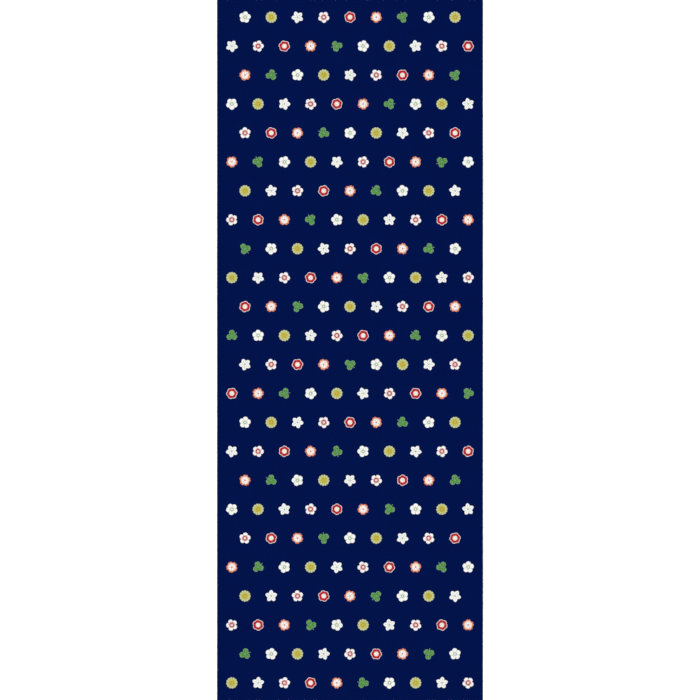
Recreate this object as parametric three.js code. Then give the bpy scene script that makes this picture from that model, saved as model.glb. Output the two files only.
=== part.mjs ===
// A tenugui: a plain-woven cotton hand towel that lies flat and face up.
// Its two long sides are selvedges, and its two ends are cut across and left without a hem.
// Sizes are in millimetres. X runs across the width, Y along the length, and Z points up.
// The origin is the middle of the flat underside.
import * as THREE from "three";

// The sheet
const towelWidth = 341;
const towelLength = 900;
const clothDepth = 1.0;
const dyedNavy = 0x02154c;

// The selvedge is a little fuller, because the weft turns back there
const selvedgeWidth = 4.5;
const selvedgeSlope = 1.5;
const selvedgeRise = 0.15;

// The rim in section, from the underside up: how far each line lies inside the outline,
// and how high it is as a share of the cloth's depth there
const rimLines = [
  { inset: 0.35, level: 0.0 },
  { inset: 0.0, level: 0.35 },
  { inset: 0.0, level: 0.65 },
  { inset: 0.35, level: 1.0 },
];

// Low swells that an ironed cotton cloth keeps: their rise, how many there are across
// the width and along the length, and where the first one starts in a turn
const swells = [
  { rise: 0.30, across: 0.6, along: 3.4, start: 0.13 },
  { rise: 0.22, across: -1.1, along: 2.2, start: 0.41 },
  { rise: 0.14, across: 1.7, along: -5.3, start: 0.65 },
];

// The grid of the upper face
const innerColumns = 18;
const rowCount = 54;

const halfWidth = towelWidth / 2;
const halfLength = towelLength / 2;
const topInset = rimLines.at(-1).inset;
const selvedgeCrest = halfWidth - selvedgeWidth;
const selvedgeFoot = selvedgeCrest - selvedgeSlope;

// The numbers from 0 up to the one before count
function counted(count) {
  return Array.from({ length: count }, (_, step) => step);
}

// Even stations from low to high, both ends included
function stations(low, high, count) {
  return counted(count + 1).map((step) => THREE.MathUtils.lerp(low, high, step / count));
}

// Columns stand close together where the selvedge slopes down to the ground weave
function columnPlaces() {
  const outer = halfWidth - topInset;
  const inner = stations(-selvedgeFoot, selvedgeFoot, innerColumns);
  return [-outer, -selvedgeCrest, ...inner, selvedgeCrest, outer];
}

function selvedgeHeight(x) {
  return selvedgeRise * THREE.MathUtils.smoothstep(Math.abs(x), selvedgeFoot, selvedgeCrest);
}

function swellHeight(x, y) {
  let height = 0;
  for (const { rise, across, along, start } of swells) {
    const turn = across * x / towelWidth + along * y / towelLength + start;
    height += rise * (1 + Math.sin(2 * Math.PI * turn)) / 2;
  }
  return height;
}

function depthAt(x, y) {
  return clothDepth + selvedgeHeight(x) + swellHeight(x, y);
}

// The solid's skin, as points and as faces between them
class Skin {
  points = [];
  faces = [];

  // Adds a point and returns its number
  point(x, y, z) {
    this.points.push(new THREE.Vector3(x, y, z));
    return this.points.length - 1;
  }

  triangle(a, b, c) {
    this.faces.push(a, b, c);
  }

  quad(a, b, c, d) {
    this.triangle(a, b, c);
    this.triangle(a, c, d);
  }

  geometry() {
    const geometry = new THREE.BufferGeometry().setFromPoints(this.points);
    geometry.setIndex(this.faces);
    geometry.computeVertexNormals();
    return geometry;
  }
}

// The upper face follows the swells. Returns its point numbers, row by row
function layUpperFace(skin, columns, rows) {
  const top = rows.map((y) => columns.map((x) => skin.point(x, y, depthAt(x, y))));
  for (const row of counted(rows.length - 1)) {
    for (const column of counted(columns.length - 1)) {
      const near = top[row];
      const far = top[row + 1];
      skin.quad(near[column], near[column + 1], far[column + 1], far[column]);
    }
  }
  return top;
}

// Pairs of column and row that walk once round the grid's border, anticlockwise from above
function borderWalk(lastColumn, lastRow) {
  return [
    ...counted(lastColumn).map((step) => [step, 0]),
    ...counted(lastRow).map((step) => [lastColumn, step]),
    ...counted(lastColumn).map((step) => [lastColumn - step, lastRow]),
    ...counted(lastRow).map((step) => [0, lastRow - step]),
  ];
}

// One line of the rim, which follows the border of the upper face outside or below it
function rimLine(skin, border, { inset, level }) {
  const widen = (halfWidth - inset) / (halfWidth - topInset);
  const lengthen = (halfLength - inset) / (halfLength - topInset);
  return border.map(([x, y]) => skin.point(x * widen, y * lengthen, level * depthAt(x, y)));
}

function sheetGeometry() {
  const skin = new Skin();
  const columns = columnPlaces();
  const rows = stations(-halfLength + topInset, halfLength - topInset, rowCount);
  const top = layUpperFace(skin, columns, rows);

  const walk = borderWalk(columns.length - 1, rows.length - 1);
  const border = walk.map(([column, row]) => [columns[column], rows[row]]);
  const rim = [
    ...rimLines.slice(0, -1).map((line) => rimLine(skin, border, line)),
    walk.map(([column, row]) => top[row][column]),
  ];

  // The underside is flat, and fans out from its middle
  const middle = skin.point(0, 0, 0);
  for (const step of counted(walk.length)) {
    const next = (step + 1) % walk.length;
    for (const line of counted(rim.length - 1)) {
      skin.quad(rim[line][step], rim[line][next], rim[line + 1][next], rim[line + 1][step]);
    }
    skin.triangle(middle, rim[0][next], rim[0][step]);
  }
  return skin.geometry();
}

function buildCloth() {
  const dyedCotton = new THREE.MeshStandardMaterial({ color: dyedNavy, roughness: 0.9, metalness: 0 });
  const cloth = new THREE.Mesh(sheetGeometry(), dyedCotton);
  cloth.name = "cloth";
  return cloth;
}

const tenugui = new THREE.Group();
tenugui.add(buildCloth());

export default tenugui;
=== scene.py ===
import math

import bpy
from mathutils import Color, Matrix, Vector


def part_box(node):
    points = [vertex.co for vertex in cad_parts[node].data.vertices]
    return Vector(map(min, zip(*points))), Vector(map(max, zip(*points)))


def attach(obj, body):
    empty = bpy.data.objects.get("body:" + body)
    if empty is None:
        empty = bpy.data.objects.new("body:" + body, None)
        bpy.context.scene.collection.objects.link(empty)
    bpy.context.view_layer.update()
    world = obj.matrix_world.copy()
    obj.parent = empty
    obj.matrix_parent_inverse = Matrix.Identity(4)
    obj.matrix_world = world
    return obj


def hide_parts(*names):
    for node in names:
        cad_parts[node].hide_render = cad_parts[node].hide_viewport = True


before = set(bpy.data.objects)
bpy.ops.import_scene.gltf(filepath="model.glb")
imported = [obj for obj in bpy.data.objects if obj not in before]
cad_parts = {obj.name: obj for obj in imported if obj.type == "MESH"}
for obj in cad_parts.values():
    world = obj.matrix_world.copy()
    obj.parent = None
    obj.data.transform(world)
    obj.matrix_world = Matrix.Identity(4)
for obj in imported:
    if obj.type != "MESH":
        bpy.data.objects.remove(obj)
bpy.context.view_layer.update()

mm = 0.001
halfTurn = math.pi
fullTurn = 2 * math.pi
clothLow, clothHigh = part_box("cloth")
towelWidth = clothHigh.x - clothLow.x
towelLength = clothHigh.y - clothLow.y
selvedgeWidth = 4.5 * mm        # woven closer, and a little fuller, than the rest


# One socket of a node tree, so that a tree's maths reads as plain sums
class Wire:
    def __init__(self, tree, socket=None):
        self.tree = tree
        self.socket = socket

    # Any node: its type, its settings, the values or links of its sockets, and which output is wanted
    def node(self, kind, settings=None, sockets=None, output=0):
        made = self.tree.nodes.new(kind)
        for name, value in (settings or {}).items():
            setattr(made, name, value)
        for name, given in (sockets or {}).items():
            for value in given if isinstance(given, list) else [given]:
                if isinstance(value, Wire):
                    self.tree.links.new(value.socket, made.inputs[name])
                else:
                    made.inputs[name].default_value = value
        return Wire(self.tree, made.outputs[output] if made.outputs else None)

    def maths(self, operation, *values, clamp=False):
        settings = {"operation": operation, "use_clamp": clamp}
        return self.node("ShaderNodeMath", settings, dict(enumerate(values)))

    def __add__(self, other):
        return self.maths("ADD", self, other)

    def __sub__(self, other):
        return self.maths("SUBTRACT", self, other)

    def __rsub__(self, other):
        return self.maths("SUBTRACT", other, self)

    def __mul__(self, other):
        return self.maths("MULTIPLY", self, other)

    def __truediv__(self, other):
        return self.maths("DIVIDE", self, other)

    def __mod__(self, other):
        return self.maths("FLOORED_MODULO", self, other)

    def __pow__(self, other):
        return self.maths("POWER", self, other)

    def __neg__(self):
        return self.maths("MULTIPLY", self, -1.0)

    def __abs__(self):
        return self.maths("ABSOLUTE", self)

    __radd__ = __add__
    __rmul__ = __mul__


def floor(value):
    return value.maths("FLOOR", value)


def root(value):
    return value.maths("SQRT", value)


def sine(value):
    return value.maths("SINE", value)


def cosine(value):
    return value.maths("COSINE", value)


def least(first, second):
    return first.maths("MINIMUM", first, second)


def most(first, second):
    return first.maths("MAXIMUM", first, second)


def isUnder(value, limit):
    return value.maths("LESS_THAN", value, limit)


def distance(x, y):
    return root(x * x + y * y)


def sides(vector):
    return [vector.node("ShaderNodeSeparateXYZ", None, {0: vector}, axis) for axis in range(3)]


def place(x, y, z=0.0):
    wire = next(value for value in (x, y, z) if isinstance(value, Wire))
    return wire.node("ShaderNodeCombineXYZ", None, {0: x, 1: y, 2: z})


def eased(value, low, high):
    # 0 below low and 1 above high, with soft ends
    settings = {"interpolation_type": "SMOOTHSTEP"}
    return value.node("ShaderNodeMapRange", settings, {0: value, 1: low, 2: high})


def dyed(share, under, over):
    # A colour laid over another where share is 1
    return share.node("ShaderNodeMix", {"data_type": "RGBA"}, {0: share, 6: under, 7: over}, 2)


def shaded(colour, share):
    return colour.node("ShaderNodeVectorMath", {"operation": "SCALE"}, {0: colour, 3: share})


def chances(x, y):
    # Three random numbers from 0 to 1 for each pair of whole numbers
    return sides(x.node("ShaderNodeTexWhiteNoise", {"noise_dimensions": "2D"}, {0: place(x, y)}, 1))


def cloudy(x, y, output=0):
    # Soft noise from 0 to 1, one cloud to each unit
    at = {"Vector": place(x, y), "Scale": 1.0, "Detail": 3.0}
    return x.node("ShaderNodeTexNoise", {"noise_dimensions": "2D"}, at, output)


def centred(value):
    # Moves what runs from 0 to 1 to either side of 0
    return value - 0.5


# How bright the studio's light leaves a flat white cloth, after the shade between its own threads
clothLight = 1.09


def ink(red, green, blue):
    # The dye that shows as a screen colour, 0 to 255, in this light
    dye = Color((red / 255, green / 255, blue / 255)).from_srgb_to_scene_linear() / clothLight
    return (*dye, 1.0)


inks = {
    "navy": ink(0, 19, 77),
    "white": ink(254, 255, 252),
    "red": ink(190, 40, 50),
    "deepRed": ink(132, 20, 32),
    "yellow": ink(208, 204, 96),
    "paleYellow": ink(206, 211, 156),
    "gold": ink(216, 180, 58),
    "olive": ink(124, 118, 44),
    "salmon": ink(230, 142, 104),
    "deepSalmon": ink(208, 88, 52),
    "green": ink(76, 144, 62),
    "paleGreen": ink(132, 172, 124),
    "darkGreen": ink(74, 104, 60),
}

# The print's repeat and its edges, in mm
layout = {
    "columnPitch": 33.7,        # from flower to flower in a row
    "rowPitch": 37.15,          # and from row to row
    "clearOfSelvedge": 12.0,    # no flower's middle is nearer to a side than this
    "columnTurn": 1,            # how the kind of flower changes from half column to half column
    "rowTurn": 2,               # and how it changes from row to row
    "flowerScale": 0.97,
    "bleed": 0.28,              # how softly the dye stops
    "wobble": 0.32,             # how far it creeps along the threads
    "wobbleSize": 1.6,          # from one creep to the next
    "threadSnap": 0.42,         # how much of an edge follows whole threads
}


def covers(edge):
    # 1 inside an outline and 0 outside, with the edge as soft as dye in a thread
    return edge.maths("MULTIPLY_ADD", edge, -1.0 / layout["bleed"], 0.5, clamp=True)


def petal(spot, count, turn=0.0):
    # Folds the plane round a flower's middle into half a petal: along its axis, and out to its side
    wedge = fullTurn / count
    angle = (spot["angle"] + (turn + 0.5) * wedge) % wedge - wedge / 2
    return spot["radius"] * cosine(angle), abs(spot["radius"] * sine(angle))


def veins(spot, count, line, turn=0.0):
    # A line is where it starts, where it ends and half its width
    low, high, half = line
    along, aside = petal(spot, count, turn)
    return most(aside - half, most(low - along, along - high))


def dots(spot, count, dot, turn=0.0):
    # A dot is how far out its middle is, and its radius
    reach, size = dot
    along, aside = petal(spot, count, turn)
    return distance(along - reach, aside) - size


def ring(spot, reach, width):
    return abs(spot["radius"] - reach) - width / 2


def disc(spot, size):
    return spot["radius"] - size


def painted(colour, *layers):
    # Lays each ink over the last, inside its outline
    for edge, over in layers:
        colour = dyed(covers(edge), colour, inks[over])
    return colour


# The flowers' sizes, in mm. A petal or a stamen's tip is how far out its middle is, and its radius.
# A seam, a vein, a stamen or a stalk is where it starts, where it ends and half its width
plum = {
    "petals": 5, "petal": (4.2, 3.35), "middle": 2.0, "seam": (2.6, 7.0, 0.16),
    "stamens": 10, "stamen": (1.6, 3.5, 0.14), "stamenTip": (3.7, 0.36),
    "ring": 1.65, "ringWidth": 0.75,
}


def plumBlossom(spot):
    edge = least(dots(spot, plum["petals"], plum["petal"]), disc(spot, plum["middle"]))
    return edge, painted(
        inks["white"],
        (veins(spot, plum["petals"], plum["seam"], 0.5), "darkGreen"),
        (veins(spot, plum["stamens"], plum["stamen"]), "green"),
        (dots(spot, plum["stamens"], plum["stamenTip"]), "gold"),
        (ring(spot, plum["ring"], plum["ringWidth"]), "green"),
    )


camellia = {
    "petals": 6, "petal": (3.8, 3.55), "rim": 0.6, "seam": (2.5, 6.6, 0.16),
    "throat": 3.1, "stamens": 8, "stamenTip": (2.0, 0.42), "heart": 0.6,
}


def camelliaFlower(spot):
    edge = least(dots(spot, camellia["petals"], camellia["petal"]), disc(spot, camellia["throat"]))
    return edge, painted(
        inks["white"],
        (edge + camellia["rim"], "red"),
        (veins(spot, camellia["petals"], camellia["seam"], 0.5), "deepRed"),
        (disc(spot, camellia["throat"]), "white"),
        (dots(spot, camellia["stamens"], camellia["stamenTip"]), "gold"),
        (disc(spot, camellia["heart"]), "gold"),
    )


daisy = {
    "petals": 12, "petal": (5.5, 1.95), "middle": 5.6, "yellow": 4.7, "seam": (2.2, 7.6, 0.16),
    "dot": (3.5, 0.4), "ring": 2.1, "ringWidth": 0.35, "heart": 1.6,
}


def daisyFlower(spot):
    edge = least(dots(spot, daisy["petals"], daisy["petal"]), disc(spot, daisy["middle"]))
    return edge, painted(
        inks["paleYellow"],
        (disc(spot, daisy["yellow"]), "yellow"),
        (veins(spot, daisy["petals"], daisy["seam"], 0.5), "olive"),
        (dots(spot, daisy["petals"], daisy["dot"]), "gold"),
        (ring(spot, daisy["ring"], daisy["ringWidth"]), "olive"),
        (disc(spot, daisy["heart"]), "gold"),
    )


def notched(spot, flower):
    # Round petals, each with a notch in its tip
    along, aside = petal(spot, flower["petals"])
    notch = aside - (along - flower["notchFrom"]) * flower["notchOpen"]
    petals = most(dots(spot, flower["petals"], flower["petal"]), -notch)
    return least(petals, disc(spot, flower["middle"]))


cherry = {
    "petals": 5, "petal": (4.1, 3.45), "notchFrom": 6.2, "notchOpen": 0.6, "middle": 2.0,
    "paleTo": 3.9, "deepFrom": 5.9, "seam": (3.2, 7.0, 0.14), "stamen": (0.6, 3.4, 0.15),
    "stamenTip": (3.5, 0.42), "heart": 0.9,
}


def cherryBlossom(spot):
    deep = eased(spot["radius"], cherry["paleTo"], cherry["deepFrom"])
    return notched(spot, cherry), painted(
        dyed(deep, inks["white"], inks["salmon"]),
        (veins(spot, cherry["petals"], cherry["seam"], 0.5), "deepSalmon"),
        (veins(spot, cherry["petals"], cherry["stamen"]), "deepSalmon"),
        (dots(spot, cherry["petals"], cherry["stamenTip"]), "deepSalmon"),
        (disc(spot, cherry["heart"]), "deepSalmon"),
    )


bellflower = {
    "petals": 5, "reach": 7.9, "petalHalf": 2.85, "middle": 4.2,
    "vein": (1.5, 5.8, 0.17), "seam": (2.9, 4.6, 0.13), "heart": 0.9,
}


def bellflowerStar(spot):
    # Each petal lies between two arcs that meet at its tip
    along, aside = petal(spot, bellflower["petals"])
    halfReach = bellflower["reach"] / 2
    arc = (halfReach ** 2 + bellflower["petalHalf"] ** 2) / (2 * bellflower["petalHalf"])
    star = distance(along - halfReach, aside + (arc - bellflower["petalHalf"])) - arc
    return least(star, disc(spot, bellflower["middle"])), painted(
        inks["white"],
        (veins(spot, bellflower["petals"], bellflower["vein"]), "darkGreen"),
        (veins(spot, bellflower["petals"], bellflower["seam"], 0.5), "darkGreen"),
        (disc(spot, bellflower["heart"]), "green"),
    )


clover = {
    "petals": 3, "petal": (3.9, 3.6), "notchFrom": 6.3, "notchOpen": 0.7, "middle": 0.9,
    "stalk": (0.0, 7.6, 0.42), "rim": 0.7, "vein": (0.5, 5.8, 0.15), "seam": (0.5, 3.4, 0.2),
    "band": 4.4, "bandSlant": 0.5, "bandHalf": 0.3, "bandReach": 2.2,
}


def cloverLeaf(spot):
    edge = least(notched(spot, clover), veins(spot, 1, clover["stalk"], 0.5))
    along, aside = petal(spot, clover["petals"])
    band = abs(along - clover["band"] - aside * clover["bandSlant"]) - clover["bandHalf"]
    return edge, painted(
        inks["paleGreen"],
        (edge + clover["rim"], "green"),
        (most(band, aside - clover["bandReach"]), "paleGreen"),
        (veins(spot, clover["petals"], clover["vein"]), "paleGreen"),
        (veins(spot, clover["petals"], clover["seam"], 0.5), "darkGreen"),
    )


pink = {
    "petals": 5, "petal": (4.35, 3.05), "middle": 2.6, "teeth": 25, "tooth": 0.28,
    "eye": 3.7, "rays": 15, "ray": 0.85, "seam": (2.4, 6.6, 0.15),
    "stamens": 5, "stamenTip": (1.1, 0.36), "heart": 1.75,
}


def fringedPink(spot):
    # Petals with fringed tips, round an eye with ragged edges
    fringe = cosine(spot["angle"] * pink["teeth"]) * pink["tooth"]
    rays = cosine(spot["angle"] * pink["rays"]) * pink["ray"]
    petals = dots(spot, pink["petals"], pink["petal"]) + fringe
    return least(petals, disc(spot, pink["middle"])), painted(
        inks["white"],
        (disc(spot, pink["eye"]) + rays, "red"),
        (veins(spot, pink["petals"], pink["seam"], 0.5), "deepRed"),
        (disc(spot, pink["heart"]), "white"),
        (dots(spot, pink["stamens"], pink["stamenTip"]), "deepRed"),
    )


kinds = [
    plumBlossom,
    camelliaFlower,
    daisyFlower,
    cherryBlossom,
    bellflowerStar,
    cloverLeaf,
    fringedPink,
]


def printed(x, y, ground):
    # Rows of small flowers, each row set half a pitch aside from the last.
    # x and y are in mm from the towel's middle
    wobble = sides(cloudy(x / layout["wobbleSize"], y / layout["wobbleSize"], 1))
    x = x + centred(wobble[0]) * layout["wobble"]
    y = y + centred(wobble[1]) * layout["wobble"]
    row = floor(y / layout["rowPitch"])
    odd = row % 2.0
    column = floor(x / layout["columnPitch"] + odd * 0.5)
    middleX = (column + 0.5 - odd * 0.5) * layout["columnPitch"]
    middleY = (row + 0.5) * layout["rowPitch"]
    awayX = (x - middleX) / layout["flowerScale"]
    awayY = (y - middleY) / layout["flowerScale"]
    spin = chances(column, row)[0] * fullTurn
    spot = {
        "radius": distance(awayX, awayY),
        "angle": awayX.maths("ARCTAN2", awayY, awayX) + spin,
    }
    whole = isUnder(abs(middleX), towelWidth / mm / 2 - layout["clearOfSelvedge"])
    halfColumn = column * 2.0 + 1.0 - odd
    kind = (halfColumn * layout["columnTurn"] + row * layout["rowTurn"]) % float(len(kinds))
    for number, flower in enumerate(kinds):
        edge, colour = flower(spot)
        here = kind.maths("COMPARE", kind, float(number), 0.5) * whole
        ground = dyed(covers(edge) * here, ground, colour)
    return ground


# The plain weave, in mm where nothing else is said
weave = {
    "pitch": 0.45,              # from thread to thread
    "plump": 0.6,               # less than 1 is a thread with full sides
    "dip": 0.45,                # how far a thread sinks under the one that crosses it
    "relief": 0.15 * mm,        # how far a thread stands out
    "gapShade": 0.5,            # how dark it is between the threads
    "tint": 0.12,               # how unlike each other the threads are dyed
    "slub": 0.28,               # how uneven they are spun
    "slubLength": 30.0,         # along the thread
    "slubApart": 7.3,           # how little a thread's slubs follow those of its neighbour
    "twist": 0.10,              # how deep the twist's lines are
    "twistTurns": 2.2,          # lines of twist to each crossing
    "twistSlant": 1.4,
    "fuzz": 0.22,
    "fuzzSize": 0.16,
    "mottle": 0.10,             # how uneven the dye bath is
    "mottleSize": 26.0,
    "selvedgeShade": 0.06,      # how much darker the close warp looks
    "reverseShow": 0.55,        # how much of the print shows on the reverse
    "roughness": 0.97,
    "polish": 0.14,             # how much smoother a thread is on its crown
    "shine": 0.01,
    "sheen": 0.012,
    "sheenRoughness": 0.5,
}


def thread(across, along, lift, stream):
    # One set of threads: how high it stands at each place, and how dark each thread is dyed
    number = floor(across)
    girth, dip, start = chances(number, stream)
    slubAlong = along * (weave["pitch"] / weave["slubLength"])
    slub = centred(cloudy(number * weave["slubApart"] + stream, slubAlong))
    turns = along * weave["twistTurns"] + across * weave["twistSlant"] + start
    shape = abs(sine(across * halfTurn)) ** weave["plump"]
    shape = shape * (1.0 - weave["dip"] + lift * weave["dip"])
    shape = shape * (1.0 + (slub + centred(girth)) * weave["slub"])
    shape = shape * (1.0 + sine(turns * fullTurn) * weave["twist"])
    return shape, 1.0 + (slub + centred(dip)) * weave["tint"]


def weaving(x, y):
    # Plain weave: each thread passes over one and under the next
    selvedge = most(abs(x) - (towelWidth / 2 - selvedgeWidth) / mm, 0.0)
    warp = (x + x.maths("SIGN", x) * selvedge) / weave["pitch"]
    weft = y / weave["pitch"]
    warpLift = cosine((weft - 0.5 + floor(warp)) * halfTurn)
    weftLift = -cosine((warp - 0.5 + floor(weft)) * halfTurn)
    warpHeight, warpTint = thread(warp, weft, warpLift, 1.0)
    weftHeight, weftTint = thread(weft, warp, weftLift, 2.0)
    onTop = isUnder(weftHeight, warpHeight)
    fuzz = centred(cloudy(x / weave["fuzzSize"], y / weave["fuzzSize"])) * weave["fuzz"]
    height = most(warpHeight, weftHeight) + fuzz
    tint = weftTint + (warpTint - weftTint) * onTop
    shade = 1.0 - weave["gapShade"] + height * weave["gapShade"]
    shade = shade * tint * (1.0 - least(selvedge, 1.0) * weave["selvedgeShade"])
    # Ink runs along whole threads, so the print is read partly at the middle of each
    snapX = (floor(warp) + 0.5) * weave["pitch"]
    snapY = (floor(weft) + 0.5) * weave["pitch"]
    inkX = x + (snapX - x) * layout["threadSnap"]
    inkY = y + (snapY - y) * layout["threadSnap"]
    return height, shade, inkX, inkY


def startMaterial(name):
    material = bpy.data.materials.new(name)
    material.use_nodes = True
    material.node_tree.nodes.clear()
    return material, Wire(material.node_tree)


def cottonSurface(sheet, colour, height, relief):
    # Dry matt cotton
    surface = sheet.node("ShaderNodeBsdfPrincipled", None, {
        "Base Color": colour,
        "Roughness": weave["roughness"] - height * weave["polish"],
        "Specular IOR Level": weave["shine"],
        "Sheen Weight": weave["sheen"],
        "Sheen Roughness": weave["sheenRoughness"],
        "Normal": sheet.node("ShaderNodeBump", None, {"Distance": relief, "Height": height}),
    })
    sheet.node("ShaderNodeOutputMaterial", None, {"Surface": surface})


def dyedCotton():
    material, sheet = startMaterial("dyedCotton")
    across, along = sides(sheet.node("ShaderNodeUVMap", {"uv_map": "clothPlace"}))[:2]
    x = (across - 0.5) * (towelWidth / mm)
    y = (along - 0.5) * (towelLength / mm)
    height, shade, inkX, inkY = weaving(x, y)
    colour = printed(inkX, inkY, inks["navy"])
    reverse = sheet.node("ShaderNodeAttribute", {"attribute_name": "reverse"}, None, 2)
    colour = dyed(reverse * (1.0 - weave["reverseShow"]), colour, inks["navy"])
    mottle = centred(cloudy(x / weave["mottleSize"], y / weave["mottleSize"])) * weave["mottle"]
    cottonSurface(sheet, shaded(colour, shade * (1.0 + mottle)), height, weave["relief"])
    return material


# Loose thread, a little paler than the cloth where it is teased out
loose = {
    "pale": ink(34, 56, 116),
    "paleShare": 0.5,           # how pale the palest places are
    "cloud": 1.1 * mm,          # from one pale place to the next
    "twist": 0.42 * mm,         # from one line of twist to the next
    "twistShade": 0.25,
    "relief": 0.03 * mm,
}


def spunThread():
    material, sheet = startMaterial("spunThread")
    x, y, z = sides(sheet.node("ShaderNodeTexCoord", None, None, 3))
    clouds = cloudy(x / loose["cloud"], y / loose["cloud"])
    twist = abs(sine((x + y + z) * (halfTurn / loose["twist"])))
    colour = dyed(clouds * loose["paleShare"], inks["navy"], loose["pale"])
    colour = shaded(colour, 1.0 - loose["twistShade"] + twist * loose["twistShade"])
    cottonSurface(sheet, colour, twist, loose["relief"])
    return material


print("stage: materials")
cotton = dyedCotton()
looseThread = spunThread()

towel = {
    "Width": towelWidth,
    "Length": towelLength,
    "Columns": 87,
    "Rows": 231,
    "Edge crowding": 1.5,       # the mesh is closer near the edges
    "Selvedge width": selvedgeWidth,
    "Selvedge slope": 1.5 * mm,
    "Selvedge rise": 0.12 * mm,
    "Cut wander": 0.18 * mm,    # how far the cut strays from a straight line
    "Side wander": 0.10 * mm,
    "Wander length": 14 * mm,   # along the edge
    "Wander reach": 9.0 * mm,   # and in from it
}
clothThickness = 0.45 * mm
rim = {"round": 0.12 * mm, "segments": 2, "corner": 60}     # corner: the least angle rounded, in degrees

# Low swells that an ironed cotton cloth keeps: rise, count across and along, and start in turns
swells = [
    {"rise": 0.30 * mm, "across": 0.6, "along": 3.4, "start": 0.13},
    {"rise": 0.22 * mm, "across": -1.1, "along": 2.2, "start": 0.41},
    {"rise": 0.14 * mm, "across": 1.7, "along": -5.3, "start": 0.65},
]


def underside(x, y, size):
    # How high the cloth's underside lies at a place
    crest = size["Width"] / 2 - size["Selvedge width"]
    height = eased(abs(x), crest - size["Selvedge slope"], crest) * size["Selvedge rise"]
    for swell in swells:
        across = x * swell["across"] / size["Width"]
        along = y * swell["along"] / size["Length"]
        height = height + (sine((across + along + swell["start"]) * fullTurn) + 1.0) * (swell["rise"] / 2)
    return height


def strayed(value, length, beside, stray, size):
    # Lets an edge wander a little to either side, most at the edge itself
    half = length / 2
    near = eased(abs(value), half - size["Wander reach"], half)
    clouds = cloudy(beside / size["Wander length"], value / size["Wander length"])
    return value + near * centred(clouds) * stray * 2.0


def laidOut(x, y, size, level=0.0):
    # Where a point of the flat pattern lies
    edgeX = strayed(x, size["Width"], y, size["Side wander"], size)
    edgeY = strayed(y, size["Length"], x, size["Cut wander"], size)
    return place(edgeX, edgeY, underside(x, y, size) + level)


def startTree(name, sizes):
    # A Geometry Nodes tree and its named inputs
    tree = bpy.data.node_groups.new(name, "GeometryNodeTree")
    tree.interface.new_socket("Geometry", in_out="OUTPUT", socket_type="NodeSocketGeometry")
    for label, value in sizes.items():
        kind = "NodeSocketInt" if isinstance(value, int) else "NodeSocketFloat"
        tree.interface.new_socket(label, in_out="INPUT", socket_type=kind)
    entry = tree.nodes.new("NodeGroupInput")
    return Wire(tree), {label: Wire(tree, entry.outputs[label]) for label in sizes}


def endTree(shape, material):
    whole = shape.node("GeometryNodeRealizeInstances", None, {0: shape})
    dressed = shape.node("GeometryNodeSetMaterial", None, {0: whole, 2: material})
    shape.node("NodeGroupOutput", None, {0: dressed})


def placed(name, data):
    # A new object in the scene
    thing = bpy.data.objects.new(name, data)
    bpy.context.scene.collection.objects.link(thing)
    return thing


def grown(name, tree, sizes, finishes=()):
    # Runs a tree and its finishing modifiers once, and keeps the plain mesh
    seed = placed(name + "Seed", bpy.data.meshes.new(name + "Seed"))
    growth = seed.modifiers.new("growth", "NODES")
    growth.node_group = tree
    for item in tree.interface.items_tree:
        if item.in_out == "INPUT":
            growth[item.identifier] = sizes[item.name]
    for kind, settings in finishes:
        finish = seed.modifiers.new(kind.lower(), kind)
        for label, value in settings.items():
            setattr(finish, label, value)
    ready = seed.evaluated_get(bpy.context.evaluated_depsgraph_get())
    piece = placed(name, bpy.data.meshes.new_from_object(ready))
    piece.data.name = name
    bpy.data.objects.remove(seed)
    print(name, len(piece.data.polygons), "faces")
    return piece


def crowded(value, length, crowding):
    # Moves mesh lines towards the edges, and keeps the outermost where it is
    half = length / 2
    share = least(abs(value) / half, 1.0)
    return value.maths("SIGN", value) * (1.0 - (1.0 - share) ** crowding) * half


def sheetTree():
    start, size = startTree("sheetTree", towel)
    grid = start.node("GeometryNodeMeshGrid", None, {
        0: size["Width"], 1: size["Length"], 2: size["Columns"], 3: size["Rows"],
    })
    at = sides(start.node("GeometryNodeInputPosition"))
    x = crowded(at[0], size["Width"], size["Edge crowding"])
    y = crowded(at[1], size["Length"], size["Edge crowding"])
    clothPlace = place(x / size["Width"] + 0.5, y / size["Length"] + 0.5)
    settings = {"data_type": "FLOAT2", "domain": "CORNER"}
    mapped = start.node("GeometryNodeStoreNamedAttribute", settings, {
        0: grid, 2: "clothPlace", 3: clothPlace,
    })
    laid = start.node("GeometryNodeSetPosition", None, {0: mapped, 2: laidOut(x, y, size)})
    endTree(start.node("GeometryNodeSetShadeSmooth", None, {0: laid}), cotton)
    return start.tree


print("stage: cloth")
cloth = grown("cottonSheet", sheetTree(), towel, [
    ("SOLIDIFY", {"thickness": clothThickness, "offset": 1.0, "use_even_offset": True}),
    ("BEVEL", {
        "width": rim["round"],
        "segments": rim["segments"],
        "limit_method": "ANGLE",
        "angle_limit": math.radians(rim["corner"]),
    }),
])


def facesDown(face):
    return face.normal.z < -0.5


# The reverse, where the print shows through more weakly
reverse = cloth.data.attributes.new("reverse", "FLOAT", "FACE")
reverse.data.foreach_set("value", [float(facesDown(face)) for face in cloth.data.polygons])


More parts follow.
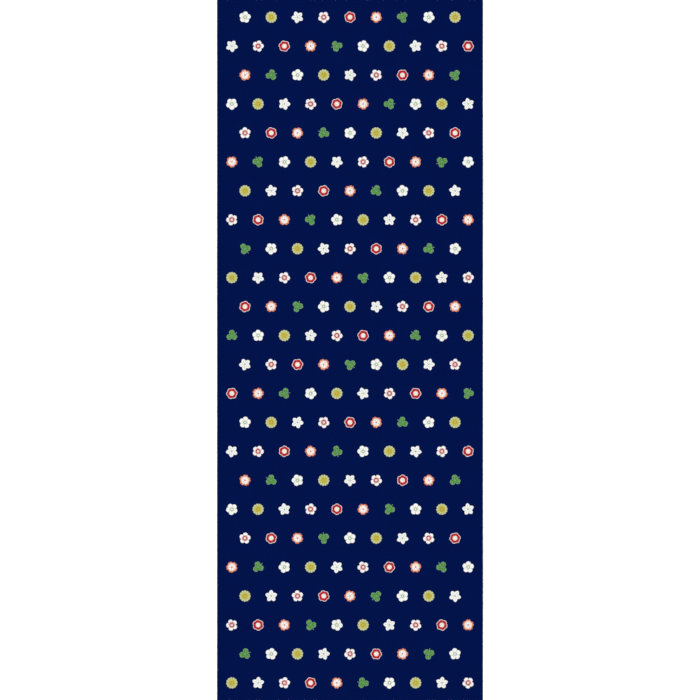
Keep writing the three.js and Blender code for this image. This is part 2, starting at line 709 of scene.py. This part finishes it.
def layBakeMap(piece, margin=0.004):
    # The face in two halves side by side, and above them the reverse, turned and smaller.
    # The margin is a share of the map's width
    mesh = piece.data
    layer = mesh.uv_layers.new(name="OFBake")
    faceScale = (1 - 3 * margin) / (2 * towelWidth)
    faceTop = margin + faceScale * towelLength / 2
    reverseScale = (1 - faceTop - 2 * margin) / towelWidth
    for face in mesh.polygons:
        upper = face.center.y > 0
        for corner in face.loop_indices:
            x, y = mesh.vertices[mesh.loops[corner].vertex_index].co.xy
            if facesDown(face):
                u = margin + (y + towelLength / 2) * reverseScale
                v = 1 - margin - (towelWidth / 2 - x) * reverseScale
            else:
                u = margin + (x + towelWidth / 2) * faceScale + upper * (margin + towelWidth * faceScale)
                v = margin + (y + (not upper) * towelLength / 2) * faceScale
            layer.uv[corner].vector = (u, v)


layBakeMap(cloth)


def sideSeeds(size, side, count):
    # Each side of the cloth, 1 or -1, has its own seeds
    return [size["Seed"] + number * side for number in range(1, count + 1)]


def picked(start, low, high, seed):
    # A random number for each instance
    return start.node("FunctionNodeRandomValue", {"data_type": "FLOAT"}, {2: low, 3: high, 8: seed}, 1)


def spun(start, route, size, taper=0.0):
    # A round thread along a route, thinner at its far end by taper
    section = {0: size["Round sides"], 4: size["Thread radius"]}
    profile = start.node("GeometryNodeCurvePrimitiveCircle", None, section)
    share = start.node("GeometryNodeSplineParameter")
    sockets = {0: route, 1: profile, 2: 1.0 - share ** 2.0 * taper, 3: True}
    return start.node("GeometryNodeCurveToMesh", None, sockets)


def threadRow(start, size, length, first, step, instance, turn, scale):
    # Instances in a row along an edge of this length, at the middle of the cloth's thickness
    gaps = floor((length - size["Clear of corner"] * 2.0) / size["Spacing"])
    line = start.node("GeometryNodeMeshLine", {"mode": "OFFSET"}, {0: gaps + 1.0, 2: first, 3: step})
    x, y, _ = sides(start.node("GeometryNodeInputPosition"))
    seat = laidOut(x, y, towel, clothThickness / 2)
    seated = start.node("GeometryNodeSetPosition", None, {0: line, 2: seat})
    sockets = {0: seated, 2: instance, 5: turn, 6: scale}
    return start.node("GeometryNodeInstanceOnPoints", None, sockets)


# Warp threads that the cut leaves loose
threadEnds = {
    "Spacing": weave["pitch"] * mm,
    "Clear of corner": 0.35 * mm,
    "Thread radius": 0.10 * mm,
    "Round sides": 6,
    "Steps": 6,
    "Rooted": 0.5 * mm,         # how far an end reaches into the cloth
    "Shortest": 0.25,           # in mm
    "Longest": 1.4,             # in mm
    "Shortness": 3.0,           # the higher, the fewer long ones
    "Bow": 0.12 * mm,
    "Splay": 0.35,              # in radians, as the lift is
    "Lift": 0.22,
    "Taper": 0.3,
    "Curl": 0.8,                # how far an end strays sideways for its length
    "Curl size": 2.4 * mm,
    "Seed": 7,
}


def curled(ends, size):
    # Bends each loose end its own way, more the farther it stands out
    x, y, _ = sides(ends.node("GeometryNodeInputPosition"))
    beyond = most(abs(y) - towelLength / 2, 0.0)
    aside = cloudy(x / size["Curl size"], y / size["Curl size"])
    away = place(centred(aside) * beyond * size["Curl"] * 2.0, 0.0)
    return ends.node("GeometryNodeSetPosition", None, {0: ends, 3: away})


def threadEndTree():
    start, size = startTree("threadEndTree", threadEnds)
    # One end is drawn 1 mm long, and its instances are stretched
    route = start.node("GeometryNodeCurveQuadraticBezier", None, {
        0: size["Steps"],
        1: place(-size["Rooted"], 0.0),
        2: (mm / 2, 0.0, 0.0),
        3: place(mm, 0.0, size["Bow"]),
    })
    end = spun(start, route, size, size["Taper"])
    corner = size["Clear of corner"] - towelWidth / 2
    rows = []
    for side in (1, -1):
        seeds = sideSeeds(size, side, 4)
        splay = picked(start, -size["Splay"], size["Splay"], seeds[0])
        roll = picked(start, 0.0, fullTurn, seeds[1])
        lift = picked(start, -size["Lift"], 0.0, seeds[2])
        draw = picked(start, 0.0, 1.0, seeds[3]) ** size["Shortness"]
        length = size["Shortest"] + (size["Longest"] - size["Shortest"]) * draw
        rows.append(threadRow(
            start,
            size,
            towelWidth,
            place(corner, side * towelLength / 2),
            place(size["Spacing"], 0.0),
            end,
            place(roll, lift, splay + side * halfTurn / 2),
            place(length, 1.0, 1.0),
        ))
    joined = start.node("GeometryNodeJoinGeometry", None, {0: rows})
    whole = start.node("GeometryNodeRealizeInstances", None, {0: joined})
    endTree(curled(whole, size), looseThread)
    return start.tree


# Where the weft turns back round the last warp thread
weftTurns = {
    "Spacing": weave["pitch"] * 2 * mm,     # one turn to two picks
    "Clear of corner": 0.6 * mm,
    "Thread radius": 0.14 * mm,
    "Round sides": 6,
    "Steps": 6,
    "Loop radius": 0.23 * mm,
    "Inset": 0.14 * mm,
    "Lean": 0.15,               # in radians
    "Unevenness": 0.15,         # of how far a turn stands out
    "Seed": 11,
}


def weftTurnTree():
    start, size = startTree("weftTurnTree", weftTurns)
    route = start.node("GeometryNodeCurveArc", None, {
        0: size["Steps"], 4: size["Loop radius"], 5: -halfTurn / 2, 6: halfTurn,
    })
    inset = start.node("GeometryNodeSetPosition", None, {0: route, 3: place(-size["Inset"], 0.0)})
    turn = spun(start, inset, size)
    corner = size["Clear of corner"] - towelLength / 2
    rows = []
    for side in (1, -1):
        seeds = sideSeeds(size, side, 2)
        lean = picked(start, -size["Lean"], size["Lean"], seeds[0])
        reach = picked(start, 1.0 - size["Unevenness"], size["Unevenness"] + 1.0, seeds[1])
        rows.append(threadRow(
            start,
            size,
            towelLength,
            place(side * towelWidth / 2, corner),
            place(0.0, size["Spacing"]),
            turn,
            place(lean, 0.0, lean + (1 - side) * halfTurn / 2),
            place(reach, 1.0, 1.0),
        ))
    endTree(start.node("GeometryNodeJoinGeometry", None, {0: rows}), looseThread)
    return start.tree


print("stage: loose threads")
cutEnds = grown("cutThreadEnds", threadEndTree(), threadEnds)
turns = grown("selvedgeTurns", weftTurnTree(), weftTurns)

for piece in (cloth, cutEnds, turns):
    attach(piece, "root")
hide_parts("cloth")

# A plain studio, with the camera straight above
studio = {
    "lens": 85.0,               # in mm, as the sensor is
    "sensor": 36.0,
    "frameShare": 1.0016,       # the towel's length as a share of the frame's height
    "floor": 9.0,               # in metres
    "floorShade": 0.9,
    "skyStrength": 1.0,
    "keyStrength": 1.6,
    "keyAngle": 40.0,           # in degrees, as the tilt is
    "keyTilt": (35.0, -30.0),
}


def layFloor():
    shade = studio["floorShade"]
    paper = bpy.data.materials.new("paperFloor")
    paper.use_nodes = True
    surface = paper.node_tree.nodes["Principled BSDF"].inputs
    surface["Base Color"].default_value = (shade, shade, shade, 1.0)
    surface["Roughness"].default_value = 1.0
    surface["Specular IOR Level"].default_value = 0.0
    half = studio["floor"] / 2
    corners = [(-half, -half, 0), (half, -half, 0), (half, half, 0), (-half, half, 0)]
    floorMesh = bpy.data.meshes.new("paperFloor")
    floorMesh.from_pydata(corners, [], [(0, 1, 2, 3)])
    floorMesh.materials.append(paper)
    paperFloor = placed("paperFloor", floorMesh)


def lightRoom():
    # An even white room, and one broad lamp
    world = bpy.data.worlds.new("softRoom")
    world.use_nodes = True
    sky = world.node_tree.nodes["Background"].inputs
    sky["Color"].default_value = (1.0, 1.0, 1.0, 1.0)
    sky["Strength"].default_value = studio["skyStrength"]
    bpy.context.scene.world = world
    bpy.context.scene.view_settings.view_transform = "Standard"
    softKey = bpy.data.lights.new("softKey", "SUN")
    softKey.energy = studio["keyStrength"]
    softKey.angle = math.radians(studio["keyAngle"])
    aside, over = map(math.radians, studio["keyTilt"])
    placed("softKey", softKey).rotation_euler = (aside, over, 0.0)


def setCamera():
    camera = bpy.data.cameras.new("overhead")
    camera.lens = studio["lens"]
    camera.sensor_width = studio["sensor"]
    reach = towelLength / studio["frameShare"] * studio["lens"] / studio["sensor"]
    overhead = placed("overhead", camera)
    overhead.location = (0.0, 0.0, reach + clothThickness)
    bpy.context.scene.camera = overhead


print("stage: studio")
layFloor()
lightRoom()
setCamera()
